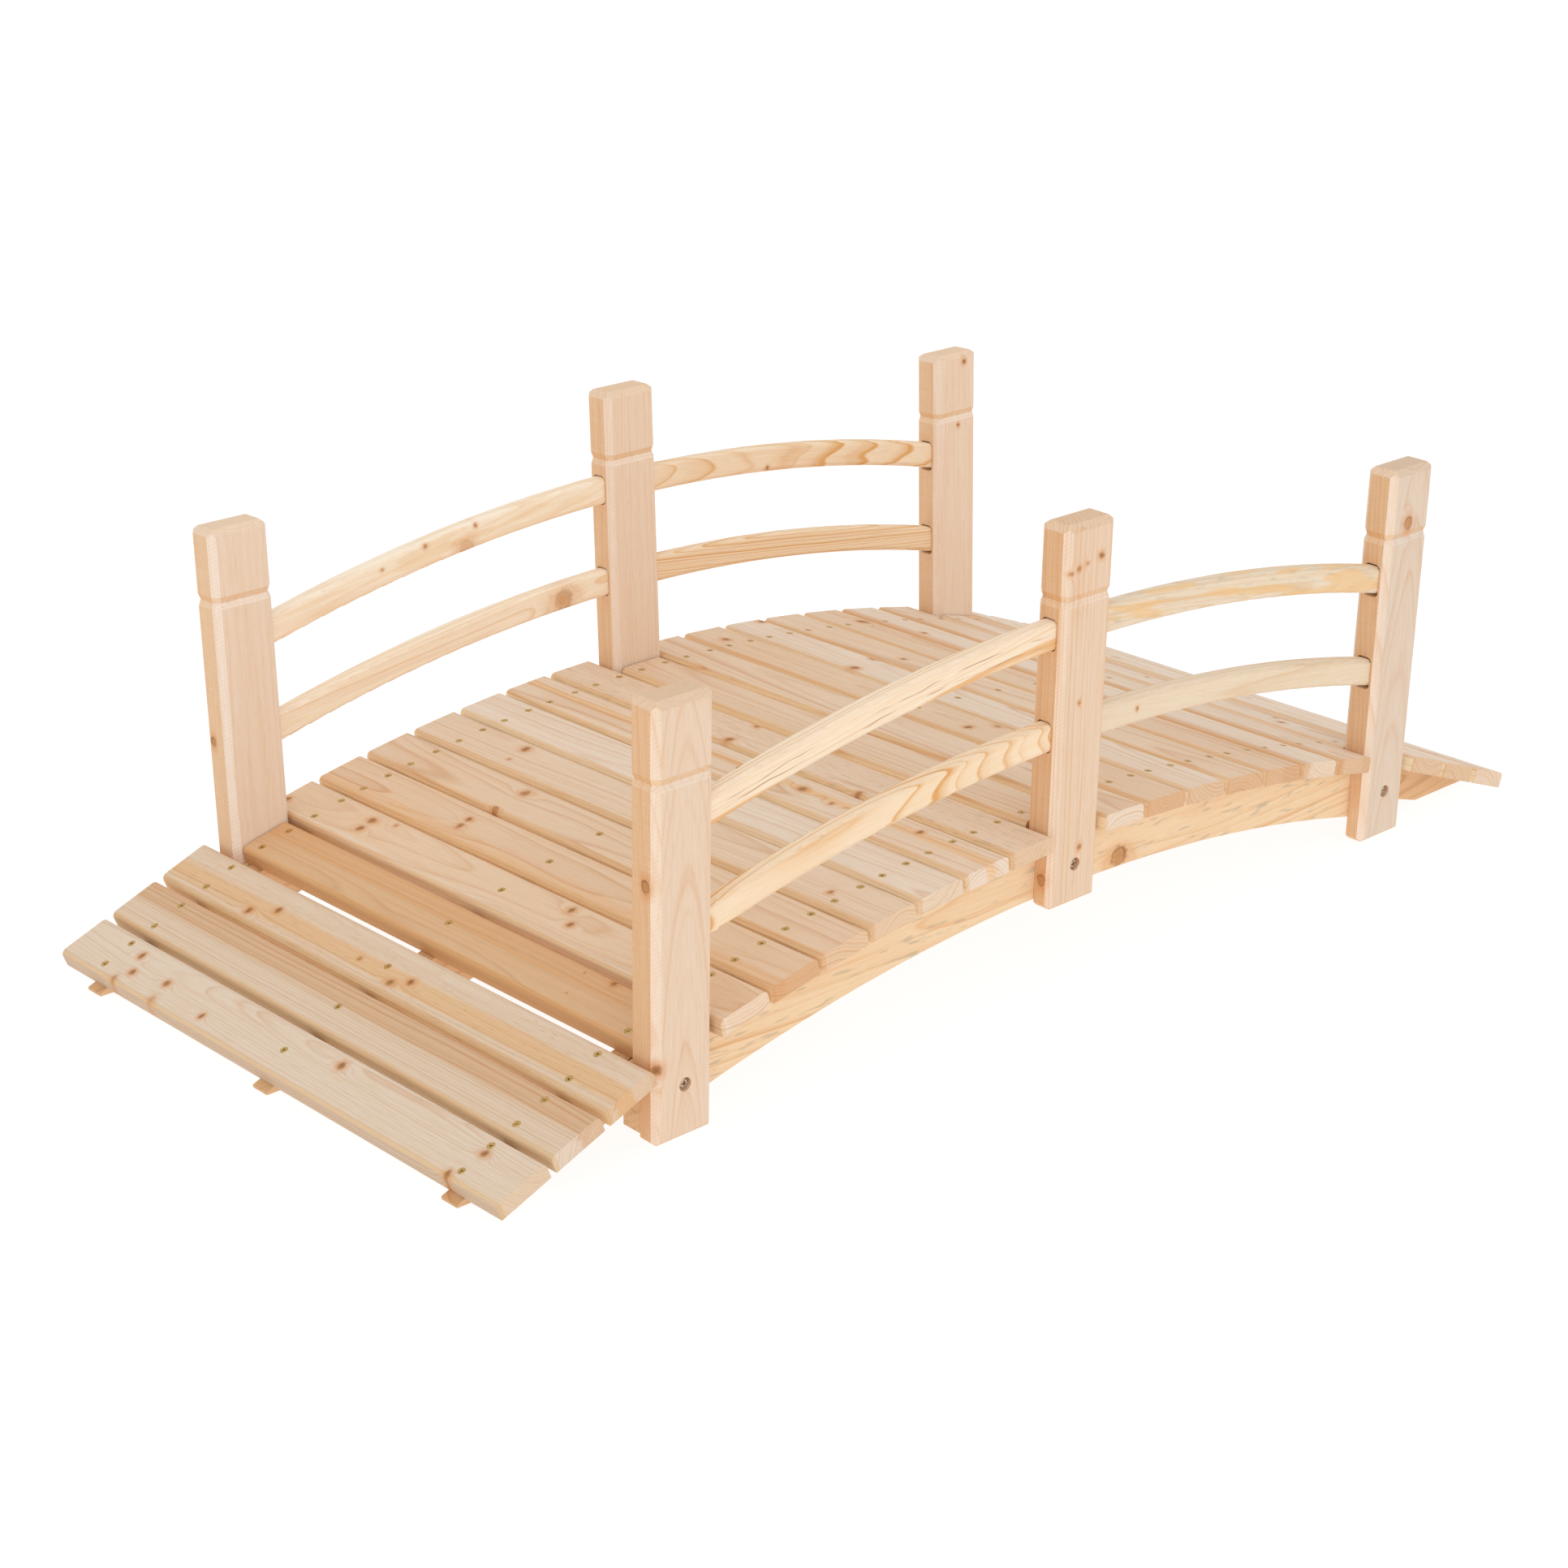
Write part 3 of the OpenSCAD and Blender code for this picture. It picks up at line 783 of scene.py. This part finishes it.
def grain_of(node, kind):
    """How a board was sawn: its pith, rings and tones, drawn from the board's own name."""
    draw = random.Random(node)
    grain = {
        "seed": tuple(draw.uniform(-900, 900) for _ in range(3)), "curve": (0.0, 0.0, 0.0),
        "contrast": 0.75, "stain": 0.3, "dash": 0.12, "blue": 0.0, "blotch": 0.0, "bands": (),
        "cracks": (), "end": WOODS[kind]["end"], "front": (),
    }
    side = draw.choice((-1, 1))
    if kind == "plank":
        # A plank's front gets painted light unless its board gives it painted shade
        grain.update(
            pith=(0.0, draw.uniform(-26, 26), side * draw.uniform(18, 60)),
            lean=(0.0, draw.uniform(-0.02, 0.02), draw.uniform(-0.035, 0.035)),
            ring=draw.uniform(2.6, 4.4), warp=draw.uniform(9, 16),
            warm=PLANK_WARM[int(node[-2:]) - 1], front=FRONT_LIGHT_STRONG,
        )
    elif kind == "post":
        grain.update(
            pith=(0.0, draw.uniform(-30, 30), side * draw.uniform(25, 60)),
            lean=(0.0, draw.uniform(-0.02, 0.02), draw.uniform(-0.06, 0.06)),
            ring=draw.uniform(4.5, 7), warp=draw.uniform(8, 14), warm=draw.uniform(0.0, 0.35),
        )
    else:
        grain.update(
            pith=(0.0, draw.uniform(-40, 40), side * draw.uniform(12, 45)),
            lean=(0.0, draw.uniform(-0.06, 0.06), draw.uniform(-0.06, 0.06)),
            ring=draw.uniform(5, 9), warp=draw.uniform(10, 22), warm=draw.uniform(0.1, 0.5),
        )
    grain.update(BOARDS.get(node, {}))
    return grain


def dress_board(node):
    kind = node.split("_")[0]
    draw = random.Random("knots " + node)
    knots = [((x, y, 0.0), THROUGH, size, dark, draw.uniform(*SPIKE_CUT), 0.0)
             for x, y, size, dark in KNOTS.get(node, [])]
    knots += [((x, y, 0.0), THROUGH, size, dark, draw.uniform(*RINGED_CUT), 1.0)
              for x, y, size, dark in RINGED_KNOTS.get(node, [])]
    knots += [((x, 0.0, z), SIDEWAYS, size, dark, draw.uniform(*RINGED_CUT), 1.0)
              for x, z, size, dark in SIDE_KNOTS.get(node, [])]
    if node == CORNER_KNOT[0]:
        knots.append(CORNER_KNOT[1])
    material = board_material(
        node + "_wood", kind, board_place(node, kind), grain_of(node, kind), knots
    )
    slot = nodes[node].material_slots[0]
    slot.link = "OBJECT"
    slot.material = material


for node in sorted(nodes):
    dress_board(node)


# Screws and bolts

# Patches of wear: how many per metre, the noise between which they fade in, and how much
# smoother and rougher than the rest the metal gets
WEAR_SCALE = 900.0
WEAR_FADE = (0.35, 0.65)
WEAR_SPAN = (0.3, 0.7)
SMOOTHER = 0.1
ROUGHER = 0.12


def metal_material(name, colour, worn, roughness):
    material = bpy.data.materials.new(name)
    material.use_nodes = True
    g = Graph(material.node_tree)
    shader = material.node_tree.nodes["Principled BSDF"]
    seen = g.node("ShaderNodeTexCoord").outputs["Object"]
    patch = g.noise(g.scaled(seen, WEAR_SCALE), 3.0, 0.6)
    colour = g.mix(g.span(patch, *WEAR_FADE), linear(*colour), linear(*worn))
    g.join(colour, shader.inputs["Base Color"])
    rough = g.span(patch, *WEAR_SPAN, roughness - SMOOTHER, roughness + ROUGHER)
    g.join(rough, shader.inputs["Roughness"])
    shader.inputs["Metallic"].default_value = 1.0
    return material


def lathe(profile, steps):
    """A closed solid of revolution from (radius, height) points that start and end on the axis."""
    bm = bmesh.new()
    rings = []
    for radius, height in profile:
        if radius == 0:
            rings.append([bm.verts.new((0, 0, height))])
        else:
            angles = [2 * math.pi * i / steps for i in range(steps)]
            rings.append(
                [bm.verts.new((radius * math.cos(a), radius * math.sin(a), height)) for a in angles]
            )
    for low, high in zip(rings, rings[1:]):
        for i in range(steps):
            j = (i + 1) % steps
            corners = [low[i % len(low)], low[j % len(low)], high[j % len(high)], high[i % len(high)]]
            bm.faces.new(list(dict.fromkeys(corners)))
    bmesh.ops.recalc_face_normals(bm, faces=bm.faces)
    mesh = bpy.data.meshes.new("lathe")
    bm.to_mesh(mesh)
    bm.free()
    return mesh


# What is left at its bottom of the size of a recess
RECESS_TAPER = 0.45


def tapered_bar(length, width, top, bottom):
    """A bar that narrows downwards, one arm pair of a cross recess."""
    bm = bmesh.new()
    corners = []
    for height, share in ((bottom, RECESS_TAPER), (top, 1.0)):
        for x, y in ((-1, -1), (1, -1), (1, 1), (-1, 1)):
            corners.append(bm.verts.new((x * length / 2 * share, y * width / 2 * share, height)))
    sides = [(i, (i + 1) % 4, (i + 1) % 4 + 4, i + 4) for i in range(4)]
    for face in [(3, 2, 1, 0), (4, 5, 6, 7)] + sides:
        bm.faces.new([corners[i] for i in face])
    mesh = bpy.data.meshes.new("bar")
    bm.to_mesh(mesh)
    bm.free()
    return mesh


def cross_head(profile, steps, length, width, top, bottom):
    """A lathed head with a cross recess, from top to bottom, cut in it."""
    scene = bpy.context.scene
    head = bpy.data.objects.new("head", lathe(profile, steps))
    scene.collection.objects.link(head)
    bars = []
    for turn in (0, math.pi / 2):
        bar = bpy.data.objects.new("bar", tapered_bar(length, width, top, bottom))
        bar.rotation_euler.z = turn
        scene.collection.objects.link(bar)
        cut = head.modifiers.new("cut", "BOOLEAN")
        cut.operation = "DIFFERENCE"
        cut.object = bar
        bars.append(bar)
    bpy.context.view_layer.update()
    result = head.evaluated_get(bpy.context.evaluated_depsgraph_get())
    mesh = bpy.data.meshes.new_from_object(result)
    for made in (head, *bars):
        bpy.data.objects.remove(made)
    return mesh


def copies(name, mesh, places, material):
    """One piece made of a mesh repeated at several places."""
    bm = bmesh.new()
    for place in places:
        one = bmesh.new()
        one.from_mesh(mesh)
        one.transform(place)
        moved = bpy.data.meshes.new("moved")
        one.to_mesh(moved)
        one.free()
        bm.from_mesh(moved)
        bpy.data.meshes.remove(moved)
    joined = bpy.data.meshes.new(name)
    bm.to_mesh(joined)
    bm.free()
    joined.materials.append(material)
    piece = bpy.data.objects.new(name, joined)
    bpy.context.scene.collection.objects.link(piece)
    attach(piece, "root")
    return piece


# Screws stand in rows over the stringers, in pairs over the outer ones; each strays a little
# across its plank, and its head lies below the plank's top
SCREW_ROW = 294 * MM
SCREW_PAIR = 34.8 * MM
SCREW_STRAY = 1.5 * MM
SCREW_SINK = 0.4 * MM
SCREW_R = 3.8 * MM
SCREW_STEPS = 28
BOLT_R = 5.6 * MM
BOLT_STEPS = 36
YELLOW_ZINC = metal_material("yellow_zinc", (232, 198, 126), (178, 146, 86), 0.38)
BRIGHT_ZINC = metal_material("bright_zinc", (222, 200, 178), (164, 134, 110), 0.34)

screw_head = cross_head(
    [(0, -2.4 * MM), (1.8 * MM, -2.4 * MM), (SCREW_R, -0.25 * MM), (SCREW_R * 0.97, 0),
     (SCREW_R * 0.5, 0.12 * MM), (0, 0.15 * MM)],
    SCREW_STEPS, length=4.6 * MM, width=1.2 * MM, top=0.4 * MM, bottom=-1.5 * MM,
)
bolt_head = cross_head(
    [(0, -0.2 * MM), (BOLT_R, -0.2 * MM), (BOLT_R, 1.2 * MM), (BOLT_R * 0.93, 2.1 * MM),
     (BOLT_R * 0.7, 2.9 * MM), (BOLT_R * 0.35, 3.2 * MM), (0, 3.25 * MM)],
    BOLT_STEPS, length=6.4 * MM, width=1.6 * MM, top=3.6 * MM, bottom=0.8 * MM,
)


def screw_places(node):
    """Where the heads of a plank's screws go, each turned its own way."""
    low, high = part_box(node)
    up = tilt_of(node)
    slope = Vector((0, 1, 0)).cross(up)
    top = max(v.co.dot(up) for v in nodes[node].data.vertices)
    middle = (low + high) / 2
    middle += up * (top - middle.dot(up))
    axes = Matrix((slope, up.cross(slope), up)).transposed().to_4x4()
    draw = random.Random("screws " + node)
    rows = [(y, s * SCREW_PAIR / 2) for y in (-SCREW_ROW, SCREW_ROW) for s in (-1, 1)] + [(0, 0)]
    places = []
    for y, side in rows:
        side += draw.uniform(-SCREW_STRAY, SCREW_STRAY)
        at = Vector((middle.x, y, middle.z)) + slope * side - up * SCREW_SINK
        turn = Matrix.Rotation(draw.uniform(0, math.pi), 4, "Z")
        places.append(Matrix.Translation(at) @ axes @ turn)
    return places


# Room round a screw head, at its rim and above it, and the points that count as one in a plank
HOLE_ROOM = 0.25 * MM
HOLE_FLARE = 0.9 * MM
WELD = 0.01 * MM


def add_screws():
    """Five countersunk screws in each plank, in holes that are cut by one shared cutter."""
    hole = lathe(
        [(0, -3 * MM), (2.2 * MM, -3 * MM), (SCREW_R + HOLE_ROOM, 0),
         (SCREW_R + HOLE_FLARE, 1.0 * MM), (0, 1.0 * MM)],
        SCREW_STEPS,
    )
    planks = [n for n in sorted(nodes) if n.startswith("plank")]
    every = []
    for node in planks:
        places = screw_places(node)
        every += places
        copies("screws_" + node, screw_head, places, YELLOW_ZINC)
    cutter = copies("countersinks", hole, every, YELLOW_ZINC)
    cutter.hide_render = True
    cutter.display_type = "WIRE"
    for node in planks:
        weld = nodes[node].modifiers.new("weld", "WELD")
        weld.merge_threshold = WELD
        cut = nodes[node].modifiers.new("countersink", "BOOLEAN")
        cut.operation = "DIFFERENCE"
        cut.object = cutter


# Depths between which the floor of a counterbore lies
BORE_LOW = 4.5 * MM
BORE_HIGH = 5.5 * MM


def add_bolts():
    """A pan head on the floor of the counterbore in each post."""
    for node in sorted(n for n in nodes if n.startswith("post")):
        mesh = nodes[node].data
        side = math.copysign(1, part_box(node)[0].y)
        outward = [p for p in mesh.polygons if p.normal.y * side > 0.9]
        out = max(outward, key=lambda p: p.area).normal.copy()
        face = max(v.co.dot(out) for v in mesh.vertices)
        floor = [p for p in outward if BORE_LOW < face - p.center.dot(out) < BORE_HIGH]
        corners = [mesh.vertices[i].co for p in floor for i in p.vertices]
        middle = sum(corners, Vector()) / len(corners)
        turn = Matrix.Rotation(random.Random("bolt " + node).uniform(0, math.pi), 4, "Z")
        axes = out.to_track_quat("Z", "X").to_matrix().to_4x4()
        place = Matrix.Translation(middle) @ axes @ turn
        copies("bolt_" + node, bolt_head, [place], BRIGHT_ZINC)


add_screws()
add_bolts()

# Camera, light and floor

CAMERA_AT = Vector((-2.178, -2.2535, 1.3601))
CAMERA_LOOK = Vector((0.6344, 0.6782, -0.3709))
CAMERA_LENS = 71.38
CAMERA_SENSOR = 36

camera_data = bpy.data.cameras.new("camera")
camera_data.lens = CAMERA_LENS
camera_data.sensor_width = CAMERA_SENSOR
camera = bpy.data.objects.new("camera", camera_data)
camera.location = CAMERA_AT
camera.rotation_euler = CAMERA_LOOK.to_track_quat("-Z", "Y").to_euler()
scene = bpy.context.scene
scene.collection.objects.link(camera)
scene.camera = camera
scene.view_settings.view_transform = "Standard"


# The floor glows so that it is white in the picture; it lies a little below the part
FLOOR_SIZE = 30
FLOOR_DROP = 0.2 * MM
FLOOR_GREY = 0.2
FLOOR_ROUGH = 0.9
FLOOR_GLOW = 0.86


def add_floor():
    bm = bmesh.new()
    bmesh.ops.create_grid(bm, x_segments=1, y_segments=1, size=FLOOR_SIZE)
    mesh = bpy.data.meshes.new("floor")
    bm.to_mesh(mesh)
    bm.free()
    material = bpy.data.materials.new("floor_white")
    material.use_nodes = True
    shader = material.node_tree.nodes["Principled BSDF"]
    shader.inputs["Base Color"].default_value = (FLOOR_GREY, FLOOR_GREY, FLOOR_GREY, 1.0)
    shader.inputs["Roughness"].default_value = FLOOR_ROUGH
    shader.inputs["Emission Color"].default_value = (1.0, 1.0, 1.0, 1.0)
    shader.inputs["Emission Strength"].default_value = FLOOR_GLOW
    mesh.materials.append(material)
    floor = bpy.data.objects.new("floor", mesh)
    floor.location.z = -FLOOR_DROP
    scene.collection.objects.link(floor)


def add_light(name, at, size, watts):
    """A soft rectangle of light that looks at the part."""
    data = bpy.data.lights.new(name, "AREA")
    data.shape = "RECTANGLE"
    data.size, data.size_y = size
    data.energy = watts
    light = bpy.data.objects.new(name, data)
    light.location = at
    light.rotation_euler = (-Vector(at)).to_track_quat("-Z", "Y").to_euler()
    scene.collection.objects.link(light)


add_floor()
add_light("key", at=(-3.6, -13.0, 6.4), size=(10.0, 6.0), watts=205)
add_light("fill", at=(-1.7, -2.0, 0.8), size=(1.0, 1.0), watts=0.3)

# The sky of the studio is brightest towards this side and dimmest on the other
SKY_SIDE = (-0.2, -0.45, 0.87)
SKY_DIM = 0.66
SKY_BRIGHT = 0.92
world = bpy.data.worlds.new("studio")
world.use_nodes = True
sky = Graph(world.node_tree)
background = world.node_tree.nodes["Background"]
background.inputs["Color"].default_value = (1.0, 1.0, 1.0, 1.0)
look = sky.node("ShaderNodeTexCoord").outputs["Generated"]
toward = sky.vector("DOT_PRODUCT", look, SKY_SIDE, out="Value")
sky.join(sky.span(toward, -1.0, 1.0, SKY_DIM, SKY_BRIGHT), background.inputs["Strength"])
scene.world = world

bpy.context.view_layer.update()
